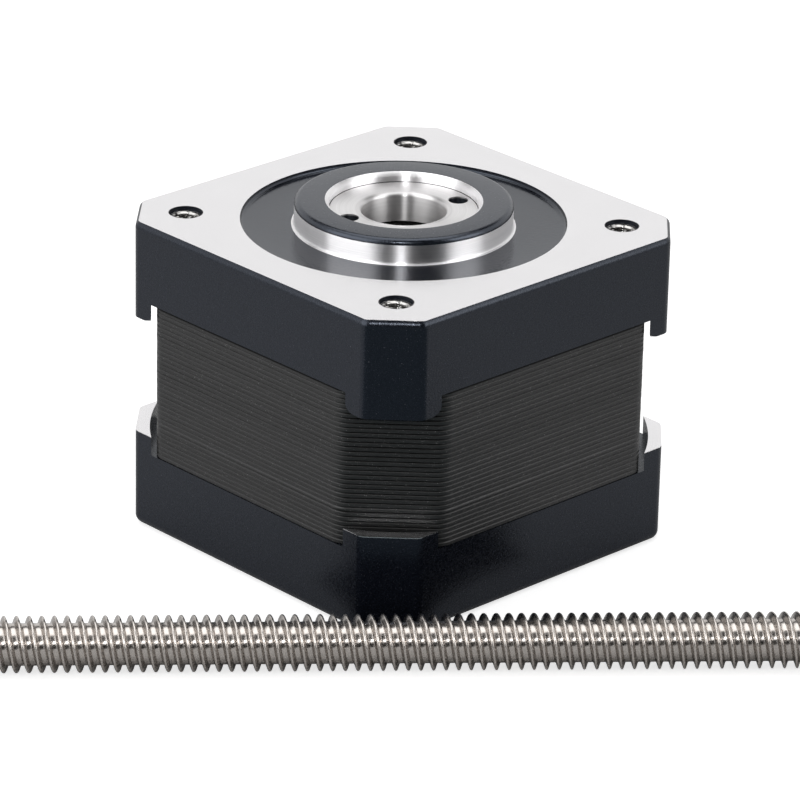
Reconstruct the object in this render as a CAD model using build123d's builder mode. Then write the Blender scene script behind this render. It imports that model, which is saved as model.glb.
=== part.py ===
from build123d import *
import os
from math import cos, radians, sin, sqrt

os.makedirs("parts", exist_ok=True)

# A non-captive linear stepper motor with its lead screw lying in front of it.
# The origin is the centre of the machined mounting face, on the shaft axis.
# +Z points out of that face and the body hangs below it. Sizes are millimetres.

# End bells and lamination stack
body_width = 42.0
corner_leg = 4.1
corner_round = 1.2
cast_edge_round = 0.9
face_allowance = 0.2
base_edge_round = 1.0
front_height = 8.3
stack_length = 16.5
rear_height = 8.5
stack_inset = 0.13
stack_corner_leg = 7.27
stack_corner_round = 2.0
ear_reach = 6.6
ear_height = 2.0
ear_round = 0.9
front_floor = 3.0
rear_floor = 2.5
hub_radius = 9.6
hub_gap = 1.4

# Pilot boss and the recess round it
pilot_radius = 11.0
pilot_height = 2.1
pilot_edge_round = 0.6
pilot_foot_round = 0.25
recess_radius = 16.45
recess_depth = 0.55
mouth_chamfer = 0.4

# Screw holes of the standard 42 mm frame
bolt_inset = 5.5
thread_radius = 1.5
thread_depth = 4.4
hole_mouth_radius = 1.7
hole_mouth_depth = 0.45
bolt_clearance = 0.1

# Long screws that clamp the three body pieces, drawn at the pitch line of their thread
bolt_radius = 1.26
bolt_tip_depth = 4.6
bolt_head_radius = 2.75
bolt_head_height = 1.7
bolt_head_round = 0.5
bolt_head_sink = 2.1
bolt_slot_width = 0.6
bolt_slot_length = 3.0
bolt_slot_depth = 0.9
head_clearance = 0.3

# Deep groove bearings, one in each bell
bearing_bore_radius = 5.0
bearing_radius = 7.5
bearing_width = 4.0
ring_thickness = 0.6
ball_radius = 0.75
ball_count = 9
ball_clearance = 0.02
cage_thickness = 0.6
cage_width = 2.4
pocket_clearance = 0.05
shoulder_step = 1.0
shoulder_thickness = 1.0

# Threaded ring that holds the front bearing
retainer_drop = 1.0
retainer_thickness = 3.0
retainer_bore_radius = 4.3
retainer_clearance = 0.1
retainer_lip_round = 0.4
retainer_relief = 0.4
relief_step = 0.3
thread_relief = 0.05
spanner_hole_radius = 1.0
spanner_hole_depth = 1.6
spanner_circle_radius = 6.1
spanner_angle = -17.0

# Rotor
air_gap = 0.1
rotor_teeth = 50
tooth_depth = 0.6
rotor_slot_width = 0.85
magnet_thickness = 2.5
magnet_inset = 1.4
sleeve_wall = 1.0
sleeve_end_gap = 0.2
spacer_wall = 0.8
nut_length = 18.0
nut_mouth_chamfer = 0.4
thread_clearance = 0.08
preload_washer_thickness = 0.4
preload_washer_width = 1.1
preload_washer_gap = 0.1

# Stator poles and windings
pole_count = 8
teeth_per_pole = 6
stator_slot_width = 0.9
pole_gap = 1.27
shoe_thickness = 1.6
pole_width = 4.2
winding_depth = 3.6
yoke_wall = 2.8
liner_thickness = 0.4
end_plate_thickness = 0.8
bobbin_wall = 0.7
bobbin_height = 4.5
bobbin_clearance = 0.1
coil_thickness = 2.3
coil_end_round = 1.6
coil_clearance = 0.05

# Connector on the far side of the rear bell
board_thickness = 0.8
board_width = 3.4
connector_length = 13.9
connector_height = 4.3
connector_depth = 4.4
connector_wall = 0.7
connector_back_wall = 1.6
connector_gap = 0.3
pin_count = 6
pin_pitch = 2.0
pin_size = 0.5
pin_clearance = 0.02
pin_tail = 0.3
pin_tip_inset = 0.6

# Lead screw, on the surface the motor stands on
screw_radius = 2.77
screw_length = 100.0
screw_end_chamfer = 0.6
screw_distance = 34.0
screw_angle = -40.0

# Heights that follow from the sizes above
half_width = body_width / 2
bolt_spacing = body_width - 2 * bolt_inset
yoke_inner_radius = half_width - yoke_wall
cavity_radius = yoke_inner_radius + bobbin_wall + bobbin_clearance
shoe_radius = yoke_inner_radius - winding_depth
stator_radius = shoe_radius - shoe_thickness
rotor_radius = stator_radius - air_gap
ear_edge = half_width - ear_reach
ear_bore_radius = sqrt(half_width**2 + ear_edge**2)
ear_length = ear_reach * sqrt(2)
front_seam_z = -front_height
rear_seam_z = front_seam_z - stack_length
base_z = rear_seam_z - rear_height
retainer_top_z = pilot_height - retainer_drop
front_bearing_z = retainer_top_z - retainer_thickness
shoulder_z = front_bearing_z - bearing_width
front_hub_z = shoulder_z - shoulder_thickness
rear_hub_z = rear_seam_z - hub_gap
rear_cavity_z = base_z + rear_floor
rear_bearing_z = rear_cavity_z + bearing_width - preload_washer_thickness / 2
washer_z = rear_bearing_z - bearing_width
pocket_z = washer_z - preload_washer_thickness
shoulder_radius = bearing_radius - shoulder_step
bolt_seat_z = base_z + bolt_head_sink
sleeve_top_z = front_bearing_z - sleeve_end_gap
sleeve_end_z = washer_z - sleeve_end_gap
sleeve_bore_radius = bearing_bore_radius - sleeve_wall
tooth_pitch = 360 / rotor_teeth
pole_angle = 360 / pole_count
rotor_middle_z = front_seam_z - stack_length / 2
cup_length = (stack_length - magnet_thickness) / 2

# The outline shared by both bells: a square with rounded cut corners.
with BuildSketch() as bell_plan:
    Rectangle(body_width, body_width)
    chamfer(bell_plan.vertices(), length=corner_leg)
    fillet(bell_plan.vertices(), radius=corner_round)

# The four corners outside the turned bore, which overlap the stack.
with BuildSketch() as ear_plan:
    add(bell_plan.sketch)
    Circle(ear_bore_radius, mode=Mode.SUBTRACT)

diagonals = (45, 135)


def screw_places():
    """The four screw positions on the standard square."""
    return GridLocations(bolt_spacing, bolt_spacing, 2, 2)


# The front ears hang below the seam and have rounded lower corners.
with BuildPart() as ear_mask:
    for turn in diagonals:
        across = Plane(origin=(0, 0, front_seam_z), x_dir=(cos(radians(turn)), sin(radians(turn)), 0),
                       z_dir=(-sin(radians(turn)), cos(radians(turn)), 0))
        with BuildSketch(across) as ear_profile:
            Rectangle(ear_length, 2 * ear_height)
            fillet(ear_profile.vertices(), radius=ear_round)
        extrude(amount=body_width, both=True)

with BuildPart() as front_ears:
    with BuildSketch(Plane.XY.offset(front_seam_z)):
        add(ear_plan.sketch)
    extrude(amount=-ear_height)
    add(ear_mask.part, mode=Mode.INTERSECT)

# Front end bell: cast aluminium. Facing it cuts through the cast rounding of its upper edge.
with BuildPart() as front_end_bell:
    with BuildSketch(Plane.XY.offset(front_seam_z)):
        add(bell_plan.sketch)
    extrude(amount=front_height + face_allowance)
    fillet(front_end_bell.faces().sort_by(Axis.Z)[-1].edges(), radius=cast_edge_round)
    split(bisect_by=Plane.XY, keep=Keep.BOTTOM)
    with BuildSketch(Plane.XY):
        Circle(recess_radius)
    extrude(amount=-recess_depth, mode=Mode.SUBTRACT)
    with BuildSketch(Plane.XY.offset(-recess_depth)):
        Circle(pilot_radius)
    extrude(amount=pilot_height + recess_depth)
    pilot_edges = front_end_bell.edges().filter_by(GeomType.CIRCLE)
    pilot_edges = pilot_edges.filter_by(lambda edge: abs(edge.radius - pilot_radius) < 1e-6)
    fillet(pilot_edges.sort_by(Axis.Z)[-1], radius=pilot_edge_round)
    fillet(pilot_edges.sort_by(Axis.Z)[0], radius=pilot_foot_round)
    with BuildSketch(Plane.XY.offset(front_seam_z)):
        Circle(cavity_radius)
    extrude(amount=front_height - front_floor, mode=Mode.SUBTRACT)
    with BuildSketch(Plane.XY.offset(-front_floor)):
        Circle(hub_radius)
    extrude(amount=front_hub_z + front_floor)
    with BuildSketch(Plane.XY.offset(pilot_height)):
        Circle(bearing_radius + thread_relief)
    extrude(amount=front_bearing_z - pilot_height, mode=Mode.SUBTRACT)
    with BuildSketch(Plane.XY.offset(front_bearing_z)):
        Circle(bearing_radius)
    extrude(amount=-bearing_width, mode=Mode.SUBTRACT)
    with BuildSketch(Plane.XY.offset(shoulder_z)):
        Circle(shoulder_radius)
    extrude(amount=-shoulder_thickness, mode=Mode.SUBTRACT)
    mouth = front_end_bell.faces().sort_by(Axis.Z)[-1].edges().sort_by(SortBy.RADIUS)[0]
    chamfer(mouth, length=mouth_chamfer)
    add(front_ears.part)
    with BuildSketch(Plane.XY):
        with screw_places():
            Circle(hole_mouth_radius)
    extrude(amount=-hole_mouth_depth, mode=Mode.SUBTRACT)
    with BuildSketch(Plane.XY):
        with screw_places():
            Circle(thread_radius)
    extrude(amount=-thread_depth, mode=Mode.SUBTRACT)
    with BuildSketch(Plane.XY.offset(-thread_depth)):
        with screw_places():
            Circle(bolt_radius + thread_clearance)
    extrude(amount=front_seam_z - ear_height + thread_depth, mode=Mode.SUBTRACT)

# Rear end bell: the same casting outline, with a wall notch for the connector.
board_top_z = rear_seam_z - bobbin_height
board_z = board_top_z - board_thickness
notch_length = connector_length + 2 * connector_gap
notch_start_y = sqrt(cavity_radius**2 - (notch_length / 2)**2) - connector_gap
with BuildPart() as rear_end_bell:
    with BuildSketch(Plane.XY.offset(base_z)):
        add(bell_plan.sketch)
    extrude(amount=rear_height)
    fillet(rear_end_bell.faces().sort_by(Axis.Z)[0].edges(), radius=base_edge_round)
    with BuildSketch(Plane.XY.offset(rear_seam_z)):
        Circle(cavity_radius)
    extrude(amount=rear_cavity_z - rear_seam_z, mode=Mode.SUBTRACT)
    with BuildSketch(Plane.XY.offset(rear_cavity_z)):
        Circle(hub_radius)
    extrude(amount=rear_hub_z - rear_cavity_z)
    with BuildSketch(Plane.XY.offset(rear_hub_z)):
        Circle(bearing_radius)
    extrude(amount=pocket_z - rear_hub_z, mode=Mode.SUBTRACT)
    with BuildSketch(Plane.XY.offset(base_z)):
        Circle(retainer_bore_radius)
    extrude(amount=rear_floor, mode=Mode.SUBTRACT)
    exit_edges = rear_end_bell.faces().sort_by(Axis.Z)[0].edges().filter_by(GeomType.CIRCLE)
    exit_edges = exit_edges.filter_by(lambda edge: abs(edge.radius - retainer_bore_radius) < 1e-6)
    chamfer(exit_edges, length=mouth_chamfer)
    with BuildSketch(Plane.XY.offset(rear_seam_z)):
        add(ear_plan.sketch)
    extrude(amount=ear_height)
    with BuildSketch(Plane.XY.offset(base_z)):
        with screw_places():
            Circle(bolt_head_radius + head_clearance)
    extrude(amount=bolt_head_sink, mode=Mode.SUBTRACT)
    with BuildSketch(Plane.XY.offset(bolt_seat_z)):
        with screw_places():
            Circle(thread_radius + bolt_clearance)
    extrude(amount=rear_seam_z - bolt_seat_z, mode=Mode.SUBTRACT)
    with BuildSketch(Plane.XZ.offset(-notch_start_y)):
        with Locations((0, (rear_seam_z + board_z - connector_gap) / 2)):
            Rectangle(notch_length, rear_seam_z - board_z + connector_gap)
    extrude(amount=-half_width, mode=Mode.SUBTRACT)

# Lamination stack: eight toothed poles inside a square yoke.
with BuildPart() as stator_laminations:
    with BuildSketch(Plane.XY.offset(rear_seam_z)) as stator_plan:
        Rectangle(body_width - 2 * stack_inset, body_width - 2 * stack_inset)
        chamfer(stator_plan.vertices(), length=stack_corner_leg)
        fillet(stator_plan.vertices(), radius=stack_corner_round)
        Circle(yoke_inner_radius, mode=Mode.SUBTRACT)
        with PolarLocations((yoke_inner_radius + shoe_radius) / 2, pole_count):
            Rectangle(yoke_inner_radius - shoe_radius + shoe_thickness, pole_width)
        with BuildSketch(mode=Mode.ADD):
            Circle(shoe_radius)
            Circle(stator_radius, mode=Mode.SUBTRACT)
            with PolarLocations(stator_radius, pole_count, start_angle=pole_angle / 2):
                Rectangle(3 * shoe_thickness, pole_gap, mode=Mode.SUBTRACT)
        slots_per_pole = teeth_per_pole - 1
        for pole in range(pole_count):
            first_slot = pole * pole_angle - tooth_pitch * (slots_per_pole - 1) / 2
            with PolarLocations(stator_radius, slots_per_pole, start_angle=first_slot,
                                angular_range=tooth_pitch * (slots_per_pole - 1), endpoint=True):
                Rectangle(2 * tooth_depth, stator_slot_width, mode=Mode.SUBTRACT)
        with screw_places():
            Circle(thread_radius + bolt_clearance, mode=Mode.SUBTRACT)
    extrude(amount=stack_length)


bobbin_inner_radius = shoe_radius - bobbin_wall
bobbin_outer_radius = yoke_inner_radius + bobbin_wall - bobbin_clearance
winding_reach = bobbin_outer_radius - bobbin_wall
liner_width = pole_width + 2 * liner_thickness


def moulded_insulator(seam_z, direction):
    """One bobbin half: pole end plates, walls on both sides of the coils, and slot liners."""
    plate_end = bobbin_outer_radius - bobbin_wall / 2
    liner_length = stack_length / 2 - bobbin_clearance
    liner_start = shoe_radius + bobbin_clearance
    liner_end = sqrt(winding_reach**2 - (liner_width / 2)**2) - bobbin_clearance
    with BuildPart() as half:
        with BuildSketch(Plane.XY.offset(seam_z)):
            with PolarLocations((plate_end + bobbin_inner_radius) / 2, pole_count):
                Rectangle(plate_end - bobbin_inner_radius, liner_width)
        extrude(amount=direction * end_plate_thickness)
        with BuildSketch(Plane.XY.offset(seam_z)):
            Circle(bobbin_outer_radius)
            Circle(winding_reach, mode=Mode.SUBTRACT)
        extrude(amount=direction * bobbin_height)
        with BuildSketch(Plane.XY.offset(seam_z)):
            Circle(shoe_radius)
            Circle(bobbin_inner_radius, mode=Mode.SUBTRACT)
            with PolarLocations(bobbin_inner_radius, pole_count, start_angle=pole_angle / 2):
                Rectangle(3 * bobbin_wall, 2 * pole_gap, mode=Mode.SUBTRACT)
        extrude(amount=direction * bobbin_height)
        with BuildSketch(Plane.XY.offset(seam_z)):
            with PolarLocations((liner_end + liner_start) / 2, pole_count):
                Rectangle(liner_end - liner_start, liner_width)
                Rectangle(liner_end - liner_start, pole_width, mode=Mode.SUBTRACT)
        extrude(amount=-direction * liner_length)
    return half.part


with BuildPart() as front_insulator:
    add(moulded_insulator(front_seam_z, 1))

with BuildPart() as rear_insulator:
    add(moulded_insulator(rear_seam_z, -1))


def phase_coils(first_pole):
    """Four coils of one phase, each a rounded ring round every second pole."""
    hole_width = liner_width + 2 * coil_clearance
    hole_height = stack_length + 2 * (end_plate_thickness + coil_clearance)
    coil_width = hole_width + 2 * coil_thickness
    inner_side = shoe_radius + bobbin_clearance
    outer_side = sqrt(winding_reach**2 - (coil_width / 2)**2) - coil_clearance
    with BuildPart() as coils:
        for pole in range(first_pole, pole_count, 2):
            turn = radians(pole * pole_angle)
            outward = (cos(turn), sin(turn), 0)
            start = (inner_side * outward[0], inner_side * outward[1], rotor_middle_z)
            with BuildSketch(Plane(origin=start, x_dir=(-sin(turn), cos(turn), 0), z_dir=outward)):
                RectangleRounded(coil_width, hole_height + 2 * coil_thickness, coil_end_round)
                Rectangle(hole_width, hole_height, mode=Mode.SUBTRACT)
            extrude(amount=outer_side - inner_side)
    return coils.part


with BuildPart() as phase_a_coils:
    add(phase_coils(0))

with BuildPart() as phase_b_coils:
    add(phase_coils(1))


def toothed_cup(bottom_z, turn):
    """A toothed soft-iron half of the rotor."""
    with BuildPart() as cup:
        with BuildSketch(Plane.XY.offset(bottom_z)):
            Circle(rotor_radius)
            with PolarLocations(rotor_radius, rotor_teeth, start_angle=turn):
                Rectangle(2 * tooth_depth, rotor_slot_width, mode=Mode.SUBTRACT)
            Circle(bearing_bore_radius, mode=Mode.SUBTRACT)
        extrude(amount=cup_length)
    return cup.part


# The two cups stand half a tooth apart, with the magnet between them.
with BuildPart() as rotor_front_cup:
    add(toothed_cup(front_seam_z - cup_length, 0))

with BuildPart() as rotor_rear_cup:
    add(toothed_cup(rear_seam_z, tooth_pitch / 2))

with BuildPart() as rotor_magnet:
    with BuildSketch(Plane.XY.offset(rear_seam_z + cup_length)):
        Circle(rotor_radius - magnet_inset)
        Circle(bearing_bore_radius, mode=Mode.SUBTRACT)
    extrude(amount=magnet_thickness)

# Hollow rotor sleeve, carried by both bearings.
with BuildPart() as rotor_sleeve:
    with BuildSketch(Plane.XY.offset(sleeve_end_z)):
        Circle(bearing_bore_radius)
        Circle(sleeve_bore_radius, mode=Mode.SUBTRACT)
    extrude(amount=sleeve_top_z - sleeve_end_z)

# Polymer lead nut, moulded into the sleeve. The screw runs through it.
with BuildPart() as lead_nut:
    with BuildSketch(Plane.XY.offset(rotor_middle_z - nut_length / 2)):
        Circle(sleeve_bore_radius)
        Circle(screw_radius + thread_clearance, mode=Mode.SUBTRACT)
    extrude(amount=nut_length)
    nut_mouths = lead_nut.edges().filter_by(GeomType.CIRCLE).group_by(SortBy.RADIUS)[0]
    chamfer(nut_mouths, length=nut_mouth_chamfer)


def spacer_ring(bottom_z, top_z):
    """A collar on the sleeve between a bearing and the rotor."""
    with BuildPart() as ring:
        with BuildSketch(Plane.XY.offset(bottom_z)):
            Circle(bearing_bore_radius + spacer_wall)
            Circle(bearing_bore_radius, mode=Mode.SUBTRACT)
        extrude(amount=top_z - bottom_z)
    return ring.part


with BuildPart() as front_spacer:
    add(spacer_ring(front_seam_z, shoulder_z))

with BuildPart() as rear_spacer:
    add(spacer_ring(rear_bearing_z, rear_seam_z))

# Bearings: raceways are a torus groove in each ring.
ball_circle_radius = (bearing_bore_radius + bearing_radius) / 2
groove_radius = ball_radius + ball_clearance


def bearing_ring(top_z, inner_radius, outer_radius):
    """One bearing ring with its ball groove."""
    with BuildPart() as ring:
        with BuildSketch(Plane.XY.offset(top_z - bearing_width)):
            Circle(outer_radius)
            Circle(inner_radius, mode=Mode.SUBTRACT)
        extrude(amount=bearing_width)
        with Locations((0, 0, top_z - bearing_width / 2)):
            Torus(ball_circle_radius, groove_radius, mode=Mode.SUBTRACT)
    return ring.part


def bearing_balls(top_z):
    """The ring of balls."""
    with BuildPart() as balls:
        with Locations((0, 0, top_z - bearing_width / 2)):
            with PolarLocations(ball_circle_radius, ball_count):
                Sphere(ball_radius)
    return balls.part


def bearing_cage(top_z):
    """The ring that spaces the balls, with a round pocket for each."""
    with BuildPart() as cage:
        with BuildSketch(Plane.XY.offset(top_z - bearing_width / 2 - cage_width / 2)):
            Circle(ball_circle_radius + cage_thickness / 2)
            Circle(ball_circle_radius - cage_thickness / 2, mode=Mode.SUBTRACT)
        extrude(amount=cage_width)
        with Locations((0, 0, top_z - bearing_width / 2)):
            with PolarLocations(ball_circle_radius, ball_count):
                Cylinder(ball_radius + pocket_clearance, 2 * cage_thickness, rotation=(0, 90, 0),
                         mode=Mode.SUBTRACT)
    return cage.part


with BuildPart() as front_bearing_outer_ring:
    add(bearing_ring(front_bearing_z, bearing_radius - ring_thickness, bearing_radius))

with BuildPart() as front_bearing_inner_ring:
    add(bearing_ring(front_bearing_z, bearing_bore_radius, bearing_bore_radius + ring_thickness))

with BuildPart() as front_bearing_balls:
    add(bearing_balls(front_bearing_z))

with BuildPart() as front_bearing_cage:
    add(bearing_cage(front_bearing_z))

with BuildPart() as rear_bearing_outer_ring:
    add(bearing_ring(rear_bearing_z, bearing_radius - ring_thickness, bearing_radius))

with BuildPart() as rear_bearing_inner_ring:
    add(bearing_ring(rear_bearing_z, bearing_bore_radius, bearing_bore_radius + ring_thickness))

with BuildPart() as rear_bearing_balls:
    add(bearing_balls(rear_bearing_z))

with BuildPart() as rear_bearing_cage:
    add(bearing_cage(rear_bearing_z))

# Wave washer behind the rear bearing, pressed almost flat.
with BuildPart() as preload_washer:
    with BuildSketch(Plane.XY.offset(pocket_z)):
        Circle(bearing_radius - preload_washer_gap)
        Circle(bearing_radius - preload_washer_gap - preload_washer_width, mode=Mode.SUBTRACT)
    extrude(amount=preload_washer_thickness)

# Bearing retainer: a ring screwed into the pilot with a two-pin spanner.
with BuildPart() as bearing_retainer:
    with BuildSketch(Plane.XY.offset(front_bearing_z)):
        Circle(bearing_radius + thread_relief - retainer_clearance)
        Circle(retainer_bore_radius, mode=Mode.SUBTRACT)
    extrude(amount=retainer_thickness)
    lip = bearing_retainer.faces().sort_by(Axis.Z)[-1].edges().sort_by(SortBy.RADIUS)[0]
    fillet(lip, radius=retainer_lip_round)
    with BuildSketch(Plane.XY.offset(front_bearing_z)):
        Circle(bearing_radius - ring_thickness - relief_step)
    extrude(amount=retainer_relief, mode=Mode.SUBTRACT)
    with BuildSketch(Plane.XY.offset(retainer_top_z)):
        with PolarLocations(spanner_circle_radius, 2, start_angle=spanner_angle):
            Circle(spanner_hole_radius)
    extrude(amount=-spanner_hole_depth, mode=Mode.SUBTRACT)

# Four long screws from the underside clamp the bells on the stack.
with BuildPart() as assembly_screws:
    with BuildSketch(Plane.XY.offset(bolt_seat_z)):
        with screw_places():
            Circle(bolt_head_radius)
    extrude(amount=-bolt_head_height)
    head_rims = assembly_screws.edges().group_by(Axis.Z)[0]
    fillet(head_rims, radius=bolt_head_round)
    with BuildSketch(Plane.XY.offset(bolt_seat_z)):
        with screw_places():
            Circle(bolt_radius)
    extrude(amount=-bolt_tip_depth - bolt_seat_z)
    with BuildSketch(Plane.XY.offset(bolt_seat_z - bolt_head_height)):
        with screw_places():
            Rectangle(bolt_slot_length, bolt_slot_width)
            Rectangle(bolt_slot_width, bolt_slot_length)
    extrude(amount=bolt_slot_depth, mode=Mode.SUBTRACT)

# The ring board that joins the windings to the connector.
board_outer_radius = cavity_radius - connector_gap
connector_back_y = cavity_radius + bobbin_clearance
connector_face_y = connector_back_y + connector_depth
pin_z = board_top_z + connector_height / 2
pin_root_y = connector_back_y + connector_back_wall / 2
with BuildPart() as winding_board:
    with BuildSketch(Plane.XY.offset(board_z)):
        Circle(board_outer_radius)
        with Locations((0, pin_root_y / 2)):
            Rectangle(connector_length, pin_root_y + connector_back_wall)
        Circle(board_outer_radius - board_width, mode=Mode.SUBTRACT)
        with Locations((0, pin_root_y)):
            with GridLocations(pin_pitch, pin_pitch, pin_count, 1):
                Rectangle(pin_size + 2 * pin_clearance, pin_size + 2 * pin_clearance,
                          mode=Mode.SUBTRACT)
    extrude(amount=board_thickness)

# Six bent pins, soldered in the board.
with BuildPart() as connector_pins:
    with BuildSketch(Plane.XY.offset(board_z - pin_tail)):
        with Locations((0, pin_root_y)):
            with GridLocations(pin_pitch, pin_pitch, pin_count, 1):
                Rectangle(pin_size, pin_size)
    extrude(amount=pin_z + pin_size / 2 - board_z + pin_tail)
    with BuildSketch(Plane.XZ.offset(-pin_root_y + pin_size / 2)):
        with Locations((0, pin_z)):
            with GridLocations(pin_pitch, pin_pitch, pin_count, 1):
                Rectangle(pin_size, pin_size)
    extrude(amount=-(connector_face_y - pin_tip_inset - pin_root_y + pin_size / 2))

# White socket that takes the motor lead. It is open to the side.
with BuildPart() as connector_housing:
    with BuildSketch(Plane.XZ.offset(-connector_back_y)):
        with Locations((0, board_top_z + connector_height / 2)):
            Rectangle(connector_length, connector_height)
    extrude(amount=-connector_depth)
    with BuildSketch(Plane.XZ.offset(-connector_back_y - connector_back_wall)):
        with Locations((0, board_top_z + connector_height / 2)):
            Rectangle(connector_length - 2 * connector_wall, connector_height - 2 * connector_wall)
    extrude(amount=-connector_depth, mode=Mode.SUBTRACT)
    with BuildSketch(Plane.XY.offset(board_top_z)):
        with Locations((0, pin_root_y)):
            with GridLocations(pin_pitch, pin_pitch, pin_count, 1):
                Rectangle(pin_size + 2 * pin_clearance, pin_size + 2 * pin_clearance)
    extrude(amount=pin_z + pin_size / 2 + pin_clearance - board_top_z, mode=Mode.SUBTRACT)
    with BuildSketch(Plane.XZ.offset(-pin_root_y + pin_size / 2 + pin_clearance)):
        with Locations((0, pin_z)):
            with GridLocations(pin_pitch, pin_pitch, pin_count, 1):
                Rectangle(pin_size + 2 * pin_clearance, pin_size + 2 * pin_clearance)
    extrude(amount=-connector_depth, mode=Mode.SUBTRACT)

# Lead screw at its major diameter, on the surface in front of the motor.
screw_along = (cos(radians(screw_angle)), sin(radians(screw_angle)), 0)
screw_centre = (screw_distance * screw_along[1], -screw_distance * screw_along[0],
                base_z + screw_radius)
screw_plane = Plane(origin=screw_centre, z_dir=screw_along)
with BuildPart() as lead_screw:
    with BuildSketch(screw_plane.offset(-screw_length / 2)):
        Circle(screw_radius)
    extrude(amount=screw_length)
    chamfer(lead_screw.edges().filter_by(GeomType.CIRCLE), length=screw_end_chamfer)

pieces = {
    "front_end_bell": front_end_bell,
    "rear_end_bell": rear_end_bell,
    "stator_laminations": stator_laminations,
    "front_insulator": front_insulator,
    "rear_insulator": rear_insulator,
    "phase_a_coils": phase_a_coils,
    "phase_b_coils": phase_b_coils,
    "rotor_front_cup": rotor_front_cup,
    "rotor_rear_cup": rotor_rear_cup,
    "rotor_magnet": rotor_magnet,
    "rotor_sleeve": rotor_sleeve,
    "lead_nut": lead_nut,
    "front_spacer": front_spacer,
    "rear_spacer": rear_spacer,
    "front_bearing_outer_ring": front_bearing_outer_ring,
    "front_bearing_inner_ring": front_bearing_inner_ring,
    "front_bearing_balls": front_bearing_balls,
    "front_bearing_cage": front_bearing_cage,
    "rear_bearing_outer_ring": rear_bearing_outer_ring,
    "rear_bearing_inner_ring": rear_bearing_inner_ring,
    "rear_bearing_balls": rear_bearing_balls,
    "rear_bearing_cage": rear_bearing_cage,
    "preload_washer": preload_washer,
    "bearing_retainer": bearing_retainer,
    "assembly_screws": assembly_screws,
    "winding_board": winding_board,
    "connector_pins": connector_pins,
    "connector_housing": connector_housing,
    "lead_screw": lead_screw,
}
for name, piece in pieces.items():
    piece.part.label = name
    export_step(piece.part, f"parts/{name}.step")
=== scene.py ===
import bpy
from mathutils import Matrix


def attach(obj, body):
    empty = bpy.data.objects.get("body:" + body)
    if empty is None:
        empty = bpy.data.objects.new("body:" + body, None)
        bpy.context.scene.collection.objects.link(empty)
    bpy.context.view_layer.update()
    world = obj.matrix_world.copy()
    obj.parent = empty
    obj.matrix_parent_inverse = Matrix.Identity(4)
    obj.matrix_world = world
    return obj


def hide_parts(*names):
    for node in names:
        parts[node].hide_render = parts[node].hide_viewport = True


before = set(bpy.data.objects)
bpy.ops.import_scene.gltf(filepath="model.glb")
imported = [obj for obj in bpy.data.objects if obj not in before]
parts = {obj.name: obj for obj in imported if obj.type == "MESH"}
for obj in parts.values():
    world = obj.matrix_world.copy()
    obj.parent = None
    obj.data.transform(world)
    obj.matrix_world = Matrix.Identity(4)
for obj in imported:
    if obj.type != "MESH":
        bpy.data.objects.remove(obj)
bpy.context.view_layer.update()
import math

import bmesh
import bpy
import numpy as np
from mathutils import Matrix, Vector

# The motor's and the screw's own sizes are in millimetres, and mm makes them metres. The sizes of the
# floor, the lights and the camera are in metres.
mm = 0.001

# Both end bells: aluminium castings with satin black paint. The mounting face and the rear ears' tops are
# turned bright after painting, so bare metal meets paint at a sharp edge there.
seam_front = -8.3
seam_rear = -24.8
ear_height = 2.0
recess_radius = 16.45
paint_colour = (0.0034, 0.0042, 0.0072)
paint_tint = (0.74, 0.83, 1.0)
dust_colour = (0.07, 0.07, 0.08)
bare_colour = (0.82, 0.81, 0.82)
bare_roughness = 0.20


def new_finish(name):
    """An empty node finish with its shader and its object coordinates."""
    finish = bpy.data.materials.new(name)
    finish.use_nodes = True
    tree = finish.node_tree
    shader = tree.nodes["Principled BSDF"]
    place = tree.nodes.new("ShaderNodeTexCoord").outputs["Object"]
    return finish, tree, shader, place


def feed(tree, socket, value):
    """A socket takes a number or a colour, or a link where the value is another node's output."""
    if isinstance(value, bpy.types.NodeSocket):
        tree.links.new(value, socket)
    elif socket.type == "RGBA":
        socket.default_value = (*value, 1)
    else:
        socket.default_value = value


def worked(tree, operation, *values):
    """One math node on numbers or other nodes' outputs."""
    node = tree.nodes.new("ShaderNodeMath")
    node.operation = operation
    for socket, value in zip(node.inputs, values):
        feed(tree, socket, value)
    return node.outputs[0]


def speckle(tree, place, size, detail=2.0, stretch=(1, 1, 1)):
    """Noise whose lumps are about that size, in metres, longer along an axis whose stretch is under one."""
    mapping = tree.nodes.new("ShaderNodeMapping")
    mapping.inputs["Scale"].default_value = stretch
    tree.links.new(place, mapping.inputs["Vector"])
    noise = tree.nodes.new("ShaderNodeTexNoise")
    noise.inputs["Scale"].default_value = 1 / size
    noise.inputs["Detail"].default_value = detail
    tree.links.new(mapping.outputs[0], noise.inputs["Vector"])
    return noise.outputs["Fac"]


def graded(tree, value, low, high, to_low=0.0, to_high=1.0):
    """The value carried in a straight line from one range to another and held at its ends."""
    node = tree.nodes.new("ShaderNodeMapRange")
    tree.links.new(value, node.inputs["Value"])
    for socket, number in zip(("From Min", "From Max", "To Min", "To Max"), (low, high, to_low, to_high)):
        node.inputs[socket].default_value = number
    return node.outputs["Result"]


def blended(tree, share, first, second):
    """A number between two numbers, or outputs, by a share."""
    node = tree.nodes.new("ShaderNodeMix")
    tree.links.new(share, node.inputs["Factor"])
    feed(tree, node.inputs["A"], first)
    feed(tree, node.inputs["B"], second)
    return node.outputs["Result"]


def coloured(tree, share, first, second):
    """A colour between two colours, or outputs, by a share."""
    node = tree.nodes.new("ShaderNodeMix")
    node.data_type = "RGBA"
    tree.links.new(share, node.inputs["Factor"])
    feed(tree, node.inputs[6], first)
    feed(tree, node.inputs[7], second)
    return node.outputs[2]


def mottled(tree, share, colour, darkest, palest):
    """A colour times a factor that a share carries from darkest to palest."""
    return coloured(tree, share, [darkest * c for c in colour], [palest * c for c in colour])


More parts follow.
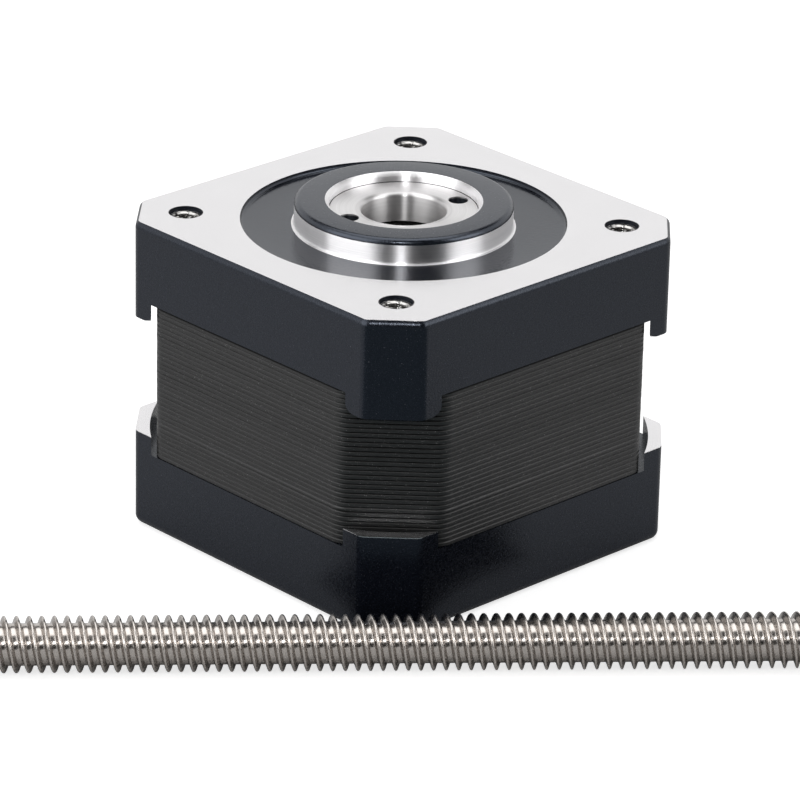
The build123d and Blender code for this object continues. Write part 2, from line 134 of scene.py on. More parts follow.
def raised(tree, shader, height, distance):
    """Bump from a height between nought and one, that deep in metres."""
    bump = tree.nodes.new("ShaderNodeBump")
    bump.inputs["Distance"].default_value = distance
    tree.links.new(height, bump.inputs["Height"])
    tree.links.new(bump.outputs[0], shader.inputs["Normal"])


def split_place(tree, place):
    """The x, y and z of a place, and its distance from the motor's axis, which is the root of x squared
    plus y squared."""
    parted = tree.nodes.new("ShaderNodeSeparateXYZ")
    tree.links.new(place, parted.inputs[0])
    x, y, z = parted.outputs
    across = worked(tree, "SQRT", worked(tree, "ADD", worked(tree, "MULTIPLY", x, x),
                                         worked(tree, "MULTIPLY", y, y)))
    return x, y, z, across


def groove_rings(tree, x, z, across, size):
    """Tool grooves that run round the motor's axis: noise over the distance from it and the height, and
    hardly over x, which breaks the rings a little."""
    spot = tree.nodes.new("ShaderNodeCombineXYZ")
    tree.links.new(across, spot.inputs[0])
    tree.links.new(worked(tree, "MULTIPLY", x, 0.01), spot.inputs[1])
    tree.links.new(z, spot.inputs[2])
    return speckle(tree, spot.outputs[0], size)


def bell_finish(name, bare_share, paint_roughness=0.26, gloss=0.50, bare=bare_colour, groove_height=0.15):
    """Satin black paint that gives way to turned bare metal where bare_share is one. Fine noise is the
    paint's skin, the peaks of a finer one are dust, and rings are the grooves in the bare metal."""
    finish, tree, shader, place = new_finish(name)
    x, y, z, across = split_place(tree, place)
    share = bare_share(tree, z, across)
    skin = speckle(tree, place, 0.22 * mm, 4)
    dust = graded(tree, speckle(tree, place, 0.14 * mm, 1), 0.72, 0.80)
    paint = coloured(tree, dust, mottled(tree, skin, paint_colour, 0.55, 1.6), dust_colour)
    rings = groove_rings(tree, x, z, across, 0.13 * mm)
    cloud = speckle(tree, place, 5 * mm, 3)
    tone = worked(tree, "ADD", worked(tree, "MULTIPLY", rings, 0.5), worked(tree, "MULTIPLY", cloud, 0.5))
    metal = mottled(tree, tone, bare, 0.93, 1.05)
    tree.links.new(coloured(tree, share, paint, metal), shader.inputs["Base Color"])
    tree.links.new(share, shader.inputs["Metallic"])
    painted = graded(tree, skin, 0.3, 0.7, paint_roughness - 0.06, paint_roughness + 0.06)
    tree.links.new(blended(tree, share, painted, bare_roughness), shader.inputs["Roughness"])
    shader.inputs["Specular IOR Level"].default_value = gloss
    tree.links.new(coloured(tree, share, paint_tint, (1, 1, 1)), shader.inputs["Specular Tint"])
    height = blended(tree, share, worked(tree, "MULTIPLY", skin, 0.32),
                     worked(tree, "MULTIPLY", rings, groove_height))
    raised(tree, shader, height, 0.05 * mm)
    return finish


def bare_above(height):
    """A share that is one above a height and nought below it."""
    return lambda tree, z, across: worked(tree, "GREATER_THAN", z, height * mm)


def bare_face(tree, z, across):
    """A share that is one on the mounting face outside the recess: above its level and past its edge, each
    by a hair less."""
    return worked(tree, "MULTIPLY", worked(tree, "GREATER_THAN", z, -0.02 * mm),
                  worked(tree, "GREATER_THAN", across, (recess_radius - 0.02) * mm))


def dress(finish, *nodes):
    """CAD nodes take one finish."""
    for node in nodes:
        parts[node].data.materials.clear()
        parts[node].data.materials.append(finish)


dress(bell_finish("front_bell_paint", bare_face), "front_end_bell")
dress(bell_finish("rear_bell_paint", bare_above(seam_rear + ear_height - 0.06)), "rear_end_bell")

# The pilot and the recess round it: part of the front bell, turned in one setting with its face. The
# pilot's side and mouth are bare and polished, its top and the recess floor keep their paint.
turn_steps = 240
sharp_angle = math.radians(38)


def grid_faces(index):
    """Each four neighbours in a grid of point numbers make a face."""
    return np.stack([index[:-1, :-1], index[:-1, 1:], index[1:, 1:], index[1:, :-1]], axis=-1).reshape(-1, 4)


def finished_piece(name, points, faces, finish, slot, body):
    """A smooth mesh with merged doubles and outward normals, dressed and riding its body."""
    mesh = bpy.data.meshes.new(name)
    mesh.from_pydata(points.tolist(), [], faces.tolist())
    built = bmesh.new()
    built.from_mesh(mesh)
    bmesh.ops.remove_doubles(built, verts=built.verts, dist=1e-7)
    bmesh.ops.recalc_face_normals(built, faces=built.faces)
    for face in built.faces:
        face.smooth = True
    built.to_mesh(mesh)
    built.free()
    mesh.set_sharp_from_angle(angle=sharp_angle)
    piece = bpy.data.objects.new(name, mesh)
    bpy.context.scene.collection.objects.link(piece)
    mesh.materials.append(finish)
    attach(piece, body)
    return piece


def ring_piece(name, points, finish, slot):
    """A closed ring on the motor's body from a grid of points: after its last row and its last column the
    first comes again."""
    rows, columns = points.shape[:2]
    index = np.pad(np.arange(rows * columns).reshape(rows, columns), ((0, 1), (0, 1)), mode="wrap")
    return finished_piece(name, points.reshape(-1, 3), grid_faces(index), finish, slot, "motor_body")


def turned(profile):
    """A profile of distances and heights carried round the motor's axis: x and y are the distance times
    the cosine and sine of the turn."""
    profile = np.array(profile, float) * mm
    turn = np.linspace(0, 2 * math.pi, turn_steps, endpoint=False)
    return np.stack([profile[:, :1] * np.cos(turn), profile[:, :1] * np.sin(turn),
                     np.repeat(profile[:, 1:], turn_steps, axis=1)], axis=-1)


def arc(centre, radius, start, end, count):
    """Evenly spaced points on a circle's arc between two angles in degrees."""
    angle = np.radians(np.linspace(start, end, count))
    return [(centre[0] + radius * math.cos(a), centre[1] + radius * math.sin(a)) for a in angle]


pilot_top_profile = ([(11.0, 1.50), (11.03, 1.53)] + arc((10.48, 1.565), 0.555, 0, 90, 8)
                     + [(7.97, 2.12), (7.95, 2.10), (8.1, 1.9), (10.4, 1.8), (10.8, 1.5)])
pilot_side_profile = (arc((11.30, -0.25), 0.27, 270, 180, 8)
                      + [(11.03, 1.52), (10.8, 1.52), (10.8, -0.3), (11.30, -0.57)])
pilot_mouth_profile = [(7.98, 2.115), (7.93, 2.09), (7.54, 1.70), (7.525, 1.66), (7.525, 1.13),
                       (7.8, 1.13), (8.0, 1.6), (8.1, 2.0)]
recess_profile = ([(11.2, -0.53), (16.06, -0.53)] + arc((16.06, -0.17), 0.36, 270, 352, 8)
                  + [(16.43, -0.03), (16.465, 0.003), (16.50, -0.02), (16.50, -0.6), (11.2, -0.6)])
over_the_pilot = 3.0


def turned_finish(name, colour, roughness, streak, size=0.14 * mm, depth=0.006 * mm, painted_shade_below=-1000.0):
    """Bare metal turned on a lathe: gloss is drawn out across the tool grooves, which run round the axis.
    Below the height in its last argument, as in blind holes, its colour turns dark grey as painted shade."""
    finish, tree, shader, place = new_finish(name)
    x, y, z, across = split_place(tree, place)
    rings = groove_rings(tree, x, z, across, size)
    # Painted shade: below the last argument's height the colour turns dark grey, as in blind holes.
    unshaded = graded(tree, z, (painted_shade_below - 0.1) * mm, painted_shade_below * mm)
    tree.links.new(coloured(tree, unshaded, (0.10, 0.11, 0.13), mottled(tree, rings, colour, 0.86, 1.10)),
                   shader.inputs["Base Color"])
    shader.inputs["Metallic"].default_value = 1.0
    shader.inputs["Roughness"].default_value = roughness
    shader.inputs["Anisotropic"].default_value = streak
    shader.inputs["Anisotropic Rotation"].default_value = 0.25
    tangent = tree.nodes.new("ShaderNodeTangent")
    tangent.direction_type, tangent.axis = "RADIAL", "Z"
    tree.links.new(tangent.outputs[0], shader.inputs["Tangent"])
    raised(tree, shader, rings, depth)
    return finish


pilot_paint = bell_finish("pilot_paint", bare_above(over_the_pilot), 0.22, 0.72)
recess_paint = bell_finish("recess_paint", bare_above(0.0), 0.13, 0.58)
pilot_metal = turned_finish("pilot_metal", (0.90, 0.89, 0.90), 0.36, 0.98, 0.05 * mm, 0.012 * mm)
ring_piece("pilot_top", turned(pilot_top_profile), pilot_paint, "bell_paint")
ring_piece("pilot_side", turned(pilot_side_profile), pilot_metal, "bell_paint")
ring_piece("pilot_mouth", turned(pilot_mouth_profile), pilot_metal, "bell_paint")
ring_piece("recess_turning", turned(recess_profile), recess_paint, "bell_paint")

# Four tapped M3 holes on the standard 31 mm square of this motor size, cut into the front bell. Each
# begins with a wider mouth that is painted, and its thread is bare metal drawn darker than the face as
# painted shade.
hole_places = [(15.5, 15.5), (-15.5, 15.5), (-15.5, -15.5), (15.5, -15.5)]
mouth_radius = 1.685
mouth_depth = 0.43
tap_steps = 48
tap_pitch = 0.5
tap_rows = 7
tap_start = 0.47
tap_depth = 4.38
tap_radius = 1.46
tap_ridge = 0.22
tap_back = 1.75
# The thread's metal is darker than the face's: painted shade inside the holes.
shaded_thread_colour = (0.45, 0.44, 0.43)


def tapped_hole(centre):
    """A straight mouth with a step into a thread: the distance from the hole's axis follows a cosine,
    cut off at both ends of its range, that drops one pitch each turn. The back lies in the bell's metal."""
    turn = np.linspace(0, 2 * math.pi, tap_steps, endpoint=False)
    drop = np.concatenate([[0.0, 0.01 - mouth_depth, -mouth_depth],
                           -tap_start - np.arange(0, tap_depth - tap_start, tap_pitch / tap_rows)])
    wave = 0.5 - 0.5 * np.cos(2 * math.pi * (drop[:, None] / tap_pitch - turn / (2 * math.pi)))
    away = tap_radius - tap_ridge * np.clip(wave * 1.5 - 0.25, 0, 1)
    away[:3] = np.array([mouth_radius, mouth_radius, tap_radius])[:, None]
    away = np.concatenate([away, np.full((2, tap_steps), tap_back)])
    drop = np.concatenate([drop, [drop[-1], 0.0]])
    return np.stack([centre[0] + away * np.cos(turn), centre[1] + away * np.sin(turn),
                     np.repeat(drop[:, None], tap_steps, axis=1)], axis=-1) * mm


def bare_thread(tree, z, across):
    """A share that is one below the painted mouth."""
    return worked(tree, "LESS_THAN", z, (0.005 - mouth_depth) * mm)


tapped_metal = bell_finish("tapped_metal", bare_thread, 0.38, bare=shaded_thread_colour, groove_height=0.1)
for number, centre in enumerate(hole_places, 1):
    ring_piece(f"tapped_hole_{number}", tapped_hole(centre), tapped_metal, "bell_paint")

# The bearing retainer: a turned aluminium ring screwed into the pilot over the front bearing. Two blind
# holes take a pin spanner, and its bore with a rounded lip lets the lead screw pass.
bore_profile = ([(4.9, 1.106)] + arc((4.67, 0.72), 0.385, 90, 180, 6)
                + [(4.285, -1.88), (4.5, -1.88), (4.6, 0.6), (4.9, 0.9)])
# In the retainer's spanner holes, below 1 mm, the colour turns dark as painted shade.
dress(turned_finish("retainer_metal", (0.74, 0.73, 0.73), 0.30, 0.8, painted_shade_below=1.0), "bearing_retainer")
bore_metal = turned_finish("bore_metal", (0.68, 0.67, 0.67), 0.36, 0.95)
ring_piece("retainer_bore", turned(bore_profile), bore_metal, "turned_aluminium")

# The stator stack: 33 punched sheets of silicon steel, half a millimetre each and blackened, clamped
# between the bells. The sheets' edges stand a hair in or out of line, with a gap between each two whose
# darkness is painted shade.
sheet_count = 33
sheet_thickness = 0.5
sheet_bevel = 0.10
sheet_rise = 0.10
sheet_uneven = 0.010
gap_depth = 0.09
stack_half = 20.87
stack_leg = 7.27
stack_round = 2.0
stack_back = 0.6


def rounded_outline(half, leg, radius, side_points=40, arc_points=10):
    """Points and outward normals round a square with cut corners. Each vertex is an arc, which starts as
    far before the vertex as the radius times the tangent of half the turn, and straight runs join them."""
    reach = half - leg
    corners = np.array([(half, -reach), (half, reach), (reach, half), (-reach, half),
                        (-half, reach), (-half, -reach), (-reach, -half), (reach, -half)])
    tangent = radius * math.tan(math.radians(22.5))
    spots, normals = [], []
    for k in range(8):
        before, corner, after = corners[k - 1], corners[k], corners[(k + 1) % 8]
        heading_in = (corner - before) / np.linalg.norm(corner - before)
        heading_out = (after - corner) / np.linalg.norm(after - corner)
        first = math.atan2(-heading_in[0], heading_in[1])
        turn = first + np.linspace(0, math.pi / 4, arc_points)
        out = np.stack([np.cos(turn), np.sin(turn)], axis=1)
        middle = corner - heading_in * tangent - radius * out[0]
        spots.append(middle + radius * out)
        normals.append(out)
        start, end = corner + heading_out * tangent, after - heading_out * tangent
        share = np.linspace(0, 1, side_points if k % 2 else 8)[1:-1, None]
        spots.append(start + (end - start) * share)
        normals.append(np.repeat(out[-1:], len(share), axis=0))
    return np.concatenate(spots), np.concatenate(normals)


def sheet_stack():
    """Three rows a sheet, the gap's floor and the flat edge's two sides, each set in from the outline by
    its depth. Unevenness is a seeded normal draw, held within twice its spread."""
    spots, normals = rounded_outline(stack_half, stack_leg, stack_round)
    uneven = np.clip(np.random.default_rng(7).normal(0, sheet_uneven, sheet_count),
                     -2 * sheet_uneven, 2 * sheet_uneven)
    low = seam_rear + sheet_thickness * np.arange(sheet_count)
    heights = np.stack([low, low + sheet_bevel, low + sheet_thickness - sheet_bevel], axis=1).ravel()
    depths = np.stack([np.full(sheet_count, gap_depth), uneven, uneven], axis=1).ravel()
    heights = np.concatenate([heights, [seam_front, seam_front, seam_rear]])
    depths = np.concatenate([depths, [gap_depth, stack_back, stack_back]]) - sheet_rise
    flat = spots[None] - normals[None] * depths[:, None, None]
    tall = np.repeat(heights[:, None, None], len(spots), axis=1)
    return np.concatenate([flat, tall], axis=2) * mm


def stack_finish():
    """Blackened sheet edges: each sheet has its own random tone, with scuffs and bare specks. The gaps
    between sheets are painted shade, near black with little gloss, strongest on the cut corners, where the
    greater of x and y is less than on a side. The top sheet's upper edge is painted shadow from the front
    bell."""
    finish, tree, shader, place = new_finish("blackened_sheets")
    x, y, z, across = split_place(tree, place)
    from_rear = worked(tree, "SUBTRACT", z, seam_rear * mm)
    sheets_up = worked(tree, "MULTIPLY", from_rear, 1 / (sheet_thickness * mm))
    off_middle = worked(tree, "ABSOLUTE", worked(tree, "SUBTRACT", worked(tree, "FRACT", sheets_up), 0.5))
    furthest = worked(tree, "MAXIMUM", worked(tree, "ABSOLUTE", x), worked(tree, "ABSOLUTE", y))
    # Painted shade: gaps between sheets go near black with little gloss, more fully on the cut corners than
    # on the sides, and so does the top sheet's upper edge under the front bell.
    corner_shade = graded(tree, furthest, 20.45 * mm, 20.85 * mm, 1.0, 0.35)
    gap = worked(tree, "MAXIMUM", worked(tree, "MULTIPLY", graded(tree, off_middle, 0.34, 0.46), corner_shade),
                 graded(tree, z, (seam_front - 0.24) * mm, (seam_front - 0.15) * mm))
    shade = tree.nodes.new("ShaderNodeTexWhiteNoise")
    shade.noise_dimensions = "1D"
    tree.links.new(worked(tree, "FLOOR", sheets_up), shade.inputs["W"])
    scuff = speckle(tree, place, 0.35 * mm, 4, (1, 1, 2.5))
    tone = worked(tree, "ADD", worked(tree, "MULTIPLY", shade.outputs["Value"], 0.45),
                  worked(tree, "MULTIPLY", scuff, 0.9))
    speck = graded(tree, speckle(tree, place, 0.13 * mm, 1), 0.70, 0.76)
    black = coloured(tree, tone, (0.002, 0.002, 0.0023), (0.008, 0.008, 0.0085))
    edge = coloured(tree, speck, black, (0.16, 0.16, 0.16))
    # The gaps take a near-black colour and a low specular tint as painted shade.
    tree.links.new(coloured(tree, gap, edge, (0.0005, 0.0005, 0.0005)), shader.inputs["Base Color"])
    tree.links.new(coloured(tree, gap, (1, 1, 1), (0.08, 0.08, 0.08)), shader.inputs["Specular Tint"])
    shader.inputs["Metallic"].default_value = 0.15
    tree.links.new(graded(tree, scuff, 0.3, 0.7, 0.38, 0.55), shader.inputs["Roughness"])
    shader.inputs["Specular IOR Level"].default_value = 0.70
    raised(tree, shader, scuff, 0.02 * mm)
    return finish


blackened_sheets = stack_finish()
dress(blackened_sheets, "stator_laminations")
ring_piece("stack_edges", sheet_stack(), blackened_sheets, "lamination_steel")

# Windings: two moulded nylon bobbin halves on the stack's poles, and eight coils of enamelled copper wire
# wound over them, four for each phase.
wire_pitch = 0.25


def plain_solid(name, colour, roughness, grain, depth, metallic=0.0):
    """An even finish with a light mottling of colour and gloss."""
    finish, tree, shader, place = new_finish(name)
    cloud = speckle(tree, place, grain, 3)
    tree.links.new(mottled(tree, cloud, colour, 0.86, 1.1), shader.inputs["Base Color"])
    shader.inputs["Metallic"].default_value = metallic
    gloss = graded(tree, cloud, 0.3, 0.7, roughness - 0.04, roughness + 0.06)
    tree.links.new(gloss, shader.inputs["Roughness"])
    raised(tree, shader, cloud, depth)
    return finish


def wire_finish():
    """Turns of wire side by side: a sine of the distance from the axis gives each turn its ridge, and the
    colour darkens between turns as painted shade.
    """
    finish, tree, shader, place = new_finish("wound_wire")
    x, y, z, across = split_place(tree, place)
    wave = worked(tree, "SINE", worked(tree, "MULTIPLY", across, math.pi / (wire_pitch * mm)))
    ridge = worked(tree, "ABSOLUTE", wave)
    # Painted shade: the colour runs from dark between turns to copper on each turn's ridge.
    tree.links.new(coloured(tree, ridge, (0.20, 0.06, 0.02), (0.70, 0.28, 0.12)), shader.inputs["Base Color"])
    shader.inputs["Metallic"].default_value = 0.9
    shader.inputs["Roughness"].default_value = 0.3
    raised(tree, shader, ridge, 0.08 * mm)
    return finish


bobbin_nylon = plain_solid("bobbin_nylon", (0.78, 0.76, 0.70), 0.45, 0.6 * mm, 0.01 * mm)
dress(bobbin_nylon, "front_insulator", "rear_insulator")
dress(wire_finish(), "phase_a_coils", "phase_b_coils")

# The rotor: two ground soft-iron cups either side of a magnet, pressed on a steel sleeve. The sleeve
# holds the black polymer nut, and two collars space it from the bearings.
def bright_metal(name, colour, roughness, grain, depth):
    """Bare metal with a grain of that size, lightly uneven in colour and gloss."""
    finish, tree, shader, place = new_finish(name)
    cut = speckle(tree, place, grain, 4)
    tree.links.new(mottled(tree, cut, colour, 0.88, 1.1), shader.inputs["Base Color"])
    shader.inputs["Metallic"].default_value = 1.0
    gloss = graded(tree, cut, 0.3, 0.7, roughness - 0.05, roughness + 0.05)
    tree.links.new(gloss, shader.inputs["Roughness"])
    raised(tree, shader, cut, depth)
    return finish


rotor_iron = bright_metal("rotor_iron", (0.34, 0.34, 0.35), 0.35, 0.3 * mm, 0.006 * mm)
magnet_alloy = plain_solid("magnet_alloy", (0.16, 0.16, 0.17), 0.5, 0.3 * mm, 0.01 * mm, 0.6)
dark_steel = bright_metal("dark_steel", (0.16, 0.155, 0.15), 0.3, 0.2 * mm, 0.004 * mm)
nut_polymer = plain_solid("nut_polymer", (0.022, 0.022, 0.024), 0.4, 0.3 * mm, 0.008 * mm)
dress(rotor_iron, "rotor_front_cup", "rotor_rear_cup")
dress(magnet_alloy, "rotor_magnet")
dress(dark_steel, "rotor_sleeve", "front_spacer", "rear_spacer")
dress(nut_polymer, "lead_nut")

# Two ball bearings carry the rotor's sleeve: hardened steel rings and balls, with a pressed brass cage.
# A spring washer behind the rear one takes up the play.
race_steel = bright_metal("race_steel", (0.55, 0.55, 0.56), 0.14, 0.4 * mm, 0.002 * mm)
cage_brass = plain_solid("cage_brass", (0.62, 0.45, 0.18), 0.3, 0.3 * mm, 0.004 * mm, 1.0)
for end in ("front", "rear"):
    dress(race_steel, f"{end}_bearing_outer_ring", f"{end}_bearing_inner_ring", f"{end}_bearing_balls")
    dress(cage_brass, f"{end}_bearing_cage")
dress(race_steel, "preload_washer")

# Winding board, socket and pins: a green laminate ring that joins the coils, and on it a white nylon
# shell round six tinned square pins, where the motor's lead plugs in.
board_laminate = plain_solid("board_laminate", (0.03, 0.16, 0.06), 0.35, 0.5 * mm, 0.004 * mm)
socket_nylon = plain_solid("socket_nylon", (0.80, 0.79, 0.74), 0.4, 0.7 * mm, 0.006 * mm)
pin_tin = bright_metal("pin_tin", (0.72, 0.70, 0.66), 0.25, 0.2 * mm, 0.003 * mm)
dress(board_laminate, "winding_board")
dress(socket_nylon, "connector_housing")
dress(pin_tin, "connector_pins")

# Four long zinc-plated steel screws clamp the bells on the stack. They go in from underneath, and their
# tips end just below the tapped holes.
zinc_plate = bright_metal("zinc_plate", (0.55, 0.55, 0.56), 0.3, 0.2 * mm, 0.004 * mm)
dress(zinc_plate, "assembly_screws")

# The lead screw: a 5.54 mm stainless bar with a rolled right-hand thread of two starts and chamfered
# ends. It has been taken out of the nut and lies on the floor in front of the motor.
base_height = -33.3
screw_radius = 2.77
screw_root = 2.05
screw_pitch = 1.2192
screw_starts = 2
screw_length = 100.0
screw_chamfer = 0.6
screw_distance = 34.0
screw_steps = 80
screw_turn = math.radians(-40.0)
screw_heading = np.array([math.cos(screw_turn), math.sin(screw_turn), 0.0])
# One pitch of the thread: share of the pitch, and share of the thread's depth.
thread_form = np.array([(0.00, 1.00), (0.045, 0.99), (0.085, 0.93), (0.12, 0.82), (0.25, 0.12), (0.29, 0.03),
                        (0.34, 0.0), (0.66, 0.0), (0.71, 0.03), (0.75, 0.12), (0.88, 0.82),
                        (0.915, 0.93), (0.955, 0.99)])


def threaded_bar():
    """Rows follow the thread's form along the bar, and each row climbs one lead in a turn, so the rows are
    the thread's own edges, and the last column joins the first as many pitches on as there are starts.
    The first row past an end is held at it as the end's rim, and the rows beyond that one are drawn in to
    the axis, which closes the end flat."""
    turns_kept = screw_starts + 1
    count = int(math.ceil(screw_length / screw_pitch)) + 2 * turns_kept
    first = -screw_length / 2 - turns_kept * screw_pitch
    start = first + screw_pitch * np.repeat(np.arange(count), len(thread_form))
    along = start + screw_pitch * np.tile(thread_form[:, 0], count)
    depth = np.tile(thread_form[:, 1], count)
    turn = np.linspace(0, 2 * math.pi, screw_steps, endpoint=False)
    true_place = along[:, None] + screw_starts * screw_pitch * turn / (2 * math.pi)
    place = np.clip(true_place, -screw_length / 2, screw_length / 2)
    away = np.repeat((screw_root + (screw_radius - screw_root) * depth)[:, None], screw_steps, axis=1)
    from_end = screw_length / 2 - np.abs(place)
    away = np.minimum(away, screw_radius - np.maximum(screw_chamfer - from_end, 0))
    past = true_place > screw_length / 2
    short = true_place < -screw_length / 2
    away[1:][past[1:] & past[:-1]] = 0.0
    away[:-1][short[:-1] & short[1:]] = 0.0
    level = np.array([-screw_heading[1], screw_heading[0], 0.0])
    upward = np.array([0.0, 0.0, 1.0])
    centre = -screw_distance * level + (base_height + screw_radius) * upward
    points = (centre + place[..., None] * screw_heading + (away * np.cos(turn))[..., None] * level
              + (away * np.sin(turn))[..., None] * upward) * mm
    rows = len(along)
    index = np.arange(rows * screw_steps).reshape(rows, screw_steps)
    joined = index[np.minimum(np.arange(rows) + screw_starts * len(thread_form), rows - 1), 0]
    return points.reshape(-1, 3), grid_faces(np.concatenate([index, joined[:, None]], axis=1))


def rolled_finish():
    """Stainless steel with fine streaks and a slightly warm tint. Its gloss is drawn out along the bar, and
    a little upward part of that direction keeps it true on the flat ends."""
    finish, tree, shader, place = new_finish("rolled_stainless")
    streak = speckle(tree, place, 0.25 * mm, 4)
    steel = coloured(tree, streak, (0.46, 0.43, 0.405), (0.57, 0.535, 0.505))
    tree.links.new(steel, shader.inputs["Base Color"])
    shader.inputs["Metallic"].default_value = 1.0
    tree.links.new(graded(tree, streak, 0.3, 0.7, 0.24, 0.30), shader.inputs["Roughness"])
    shader.inputs["Anisotropic"].default_value = 0.8
    along = tree.nodes.new("ShaderNodeCombineXYZ")
    for socket, reach in zip(along.inputs, (screw_heading[0], screw_heading[1], 0.03)):
        socket.default_value = reach
    tree.links.new(along.outputs[0], shader.inputs["Tangent"])
    raised(tree, shader, streak, 0.0002 * mm)
    return finish


rolled_stainless = rolled_finish()
dress(rolled_stainless, "lead_screw")
lead_screw = finished_piece("threaded_lead_screw", *threaded_bar(), rolled_stainless,
                            "stainless_thread", "screw")
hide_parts("lead_screw")

# Floor: a wide sheet of pale paper a hair under the motor and the screw. It glows to the camera alone,
# so it looks nearly white there and still takes the soft shadows.
floor_reach = 3.0
floor_drop = 0.02 * mm
floor_colour = (0.58, 0.58, 0.58)
floor_glow = 0.72


def open_sheet(name, points, finish):
    """A grid of points as a sheet with open edges."""
    rows, columns = points.shape[:2]
    mesh = bpy.data.meshes.new(name)
    faces = grid_faces(np.arange(rows * columns).reshape(rows, columns))
    mesh.from_pydata(points.reshape(-1, 3).tolist(), [], faces.tolist())
    sheet = bpy.data.objects.new(name, mesh)
    bpy.context.scene.collection.objects.link(sheet)
    mesh.materials.append(finish)
    return sheet


floor_paper, tree, shader, place = new_finish("floor_paper")
feed(tree, shader.inputs["Base Color"], floor_colour)
shader.inputs["Roughness"].default_value = 0.9
glow = tree.nodes.new("ShaderNodeEmission")
seen = tree.nodes.new("ShaderNodeLightPath")
tree.links.new(worked(tree, "MULTIPLY", seen.outputs["Is Camera Ray"], floor_glow), glow.inputs["Strength"])
both = tree.nodes.new("ShaderNodeAddShader")
tree.links.new(shader.outputs[0], both.inputs[0])
tree.links.new(glow.outputs[0], both.inputs[1])
tree.links.new(both.outputs[0], tree.nodes["Material Output"].inputs["Surface"])
floor_x, floor_y = np.meshgrid(*[np.linspace(-floor_reach, floor_reach, 3)] * 2)
floor_z = np.full_like(floor_x, base_height * mm - floor_drop)
floor = open_sheet("floor", np.stack([floor_x, floor_y, floor_z], axis=-1), floor_paper)

# Light: an even white surround, a broad soft lamp above, a softer one on the left and a narrow one in
# front. Two white panels and two dark cloths stand for the light tent that the bare metal mirrors, and a
# third cloth is painted shadow of the floor round the motor, seen only in gloss.
camera_turn = -43.637
surround_plain = 0.55
surround_seen = 1.0

surround = bpy.data.worlds.new("surround")
surround.use_nodes = True
bpy.context.scene.world = surround
tree = surround.node_tree
seen = tree.nodes.new("ShaderNodeLightPath")
direct = worked(tree, "MAXIMUM", seen.outputs["Is Camera Ray"],
                worked(tree, "MAXIMUM", seen.outputs["Is Glossy Ray"], seen.outputs["Is Transmission Ray"]))
tree.nodes["Background"].inputs["Color"].default_value = (1, 1, 1, 1)
tree.links.new(graded(tree, direct, 0, 1, surround_plain, surround_seen),
               tree.nodes["Background"].inputs["Strength"])


def soft_lamp(name, place, aim, size, watts):
    """A square lamp that faces the aim point."""
    lamp = bpy.data.objects.new(name, bpy.data.lights.new(name, "AREA"))
    lamp.data.shape = "SQUARE"
    lamp.data.size = size
    lamp.data.energy = watts
    direction = Vector(aim) - Vector(place)
    lamp.matrix_world = Matrix.Translation(place) @ direction.to_track_quat("-Z", "Y").to_matrix().to_4x4()
    bpy.context.scene.collection.objects.link(lamp)
    return lamp


def round_the_motor(turn, rise, distance):
    """A point that far from the motor, in degrees turned from the camera's side and risen above the level:
    the sine and cosine of the turn, both times the cosine of the rise, and the sine of the rise."""
    turn, rise = np.radians(turn + camera_turn), np.radians(rise)
    return np.stack(np.broadcast_arrays(distance * np.sin(turn) * np.cos(rise),
                                        -distance * np.cos(turn) * np.cos(rise),
                                        distance * np.sin(rise)), axis=-1)


soft_lamp("top_lamp", (0.05, 0.10, 0.55), (0, 0, -0.01), 0.60, 1.5)
soft_lamp("left_lamp", (-0.50, -0.05, 0.15), (0, 0, -0.015), 0.30, 1.0).visible_glossy = False
front_lamp = soft_lamp("front_lamp", round_the_motor(-2, 30, 0.70), (0, 0, 0), 0.07, 1.0)
front_lamp.data.shape, front_lamp.data.size_y = "RECTANGLE", 0.13
front_lamp.visible_diffuse = False
soft_lamp("left_panel", round_the_motor(-57, 22, 0.60), (0, 0, 0), 0.58, 2.0).visible_diffuse = False
soft_lamp("right_panel", round_the_motor(68, 22, 0.60), (0, 0, 0), 0.38, 1.1).visible_diffuse = False


def gloss_cloth(name, points, finish):
    """A grid of points as cloth that is seen only in gloss."""
    cloth = open_sheet(name, points, finish)
    cloth.visible_camera = cloth.visible_diffuse = cloth.visible_shadow = False
    cloth.visible_transmission = cloth.visible_volume_scatter = False


def tent_wall(turns, rises, distance=0.80):
    """Part of a sphere round the motor, in even steps of turn and of rise."""
    return round_the_motor(np.linspace(*turns, 24)[None], np.linspace(*rises, 12)[:, None], distance)


def floor_shadow_cloth():
    """Painted shadow of the floor round the front of the motor, seen only in gloss: for each of its rows a
    distance from the axis and a height over the floor, carried round by the turn. It rises as a wall between
    motor and screw and goes out level above the screw."""
    away = np.concatenate([[0.0269, 0.0309, 0.0311], np.linspace(0.0313, 0.60, 9)])[:, None, None]
    rise = np.concatenate([[0.05, 0.05], np.full(10, 6.2)])[:, None, None] * mm
    turn = round_the_motor(np.linspace(-36, 52, 24), 0, 1.0)[None]
    return away * turn + np.array([0, 0, 1]) * (base_height * mm + rise)


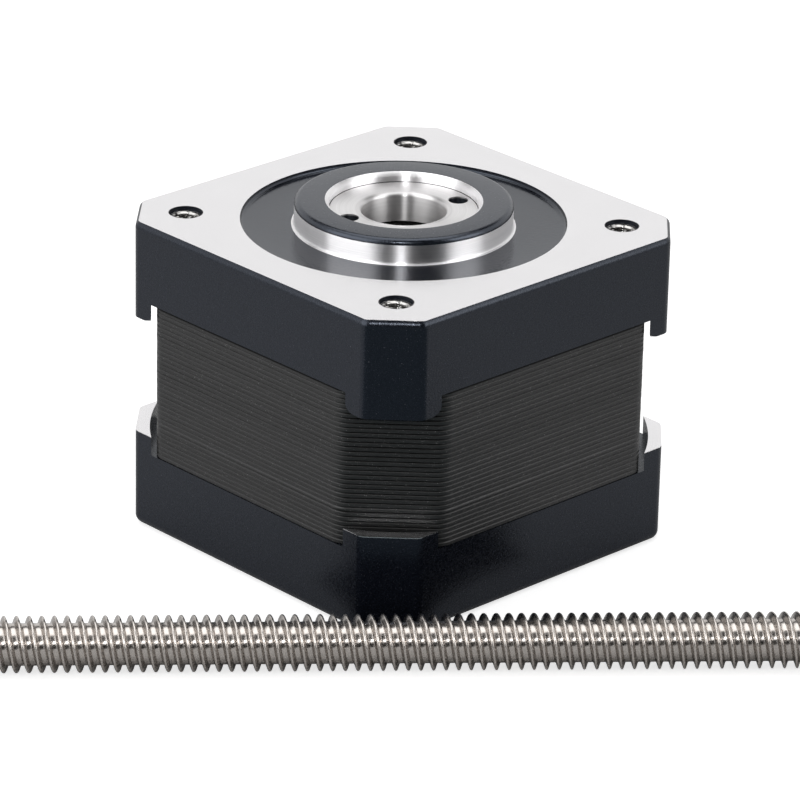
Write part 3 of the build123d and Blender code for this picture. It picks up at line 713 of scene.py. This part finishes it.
def shadow_cloth_finish():
    """Cloth of painted shadow, black near the motor and grey above the screw. It is clear from below and from
    outside, where its faces look, so that the screw doesn't mirror it."""
    finish, tree, shader, place = new_finish("one_sided_shadow_cloth")
    x, y, z, across = split_place(tree, place)
    # Painted shadow of the floor: black next to the motor, grey from 32.5 mm out.
    grey = coloured(tree, graded(tree, across, 31.1 * mm, 32.5 * mm), (0, 0, 0), (0.19, 0.23, 0.24))
    tree.links.new(grey, shader.inputs["Base Color"])
    shader.inputs["Specular IOR Level"].default_value = 0.0
    side = tree.nodes.new("ShaderNodeNewGeometry")
    tree.links.new(side.outputs["Backfacing"], shader.inputs["Alpha"])
    return finish


black_cloth, tree, shader, place = new_finish("black_cloth")
feed(tree, shader.inputs["Base Color"], (0.01, 0.01, 0.01))
shader.inputs["Specular IOR Level"].default_value = 0.0
gloss_cloth("tent_opening", tent_wall((-25, 50), (-2, 72)), black_cloth)
gloss_cloth("tent_seam", tent_wall((120, 240), (35, 57)), black_cloth)
gloss_cloth("floor_shadow_cloth", floor_shadow_cloth(), shadow_cloth_finish())

# Camera: 226 mm on a 36 mm frame, half a metre away, 44 degrees round and 23 degrees up. Its aim lies a
# little off the motor, by the two shifts in pixels.
camera_rise = 23.073
camera_roll = math.radians(1.265)
camera_distance = 0.5099
focal_pixels = 5016.0
picture_pixels = 800
shift_right = 0.6
shift_up = 43.7

outward = Vector(round_the_motor(0, camera_rise, 1.0))
level = Vector((math.cos(math.radians(camera_turn)), math.sin(math.radians(camera_turn)), 0))
upright = outward.cross(level)
right = math.cos(camera_roll) * level + math.sin(camera_roll) * upright
upward = math.cos(camera_roll) * upright - math.sin(camera_roll) * level
back = (outward * focal_pixels + right * shift_right + upward * shift_up).normalized()
right = (right - back * right.dot(back)).normalized()
upward = back.cross(right)
eye = Vector((0, 0, -0.015)) + camera_distance * outward
camera = bpy.data.objects.new("camera", bpy.data.cameras.new("camera"))
camera.data.sensor_width = 36.0
camera.data.lens = focal_pixels / picture_pixels * camera.data.sensor_width
camera.data.clip_start = 0.01
camera.matrix_world = Matrix.Translation(eye) @ Matrix((right, upward, back)).transposed().to_4x4()
bpy.context.scene.collection.objects.link(camera)
bpy.context.scene.camera = camera
bpy.context.scene.view_settings.view_transform = "Standard"
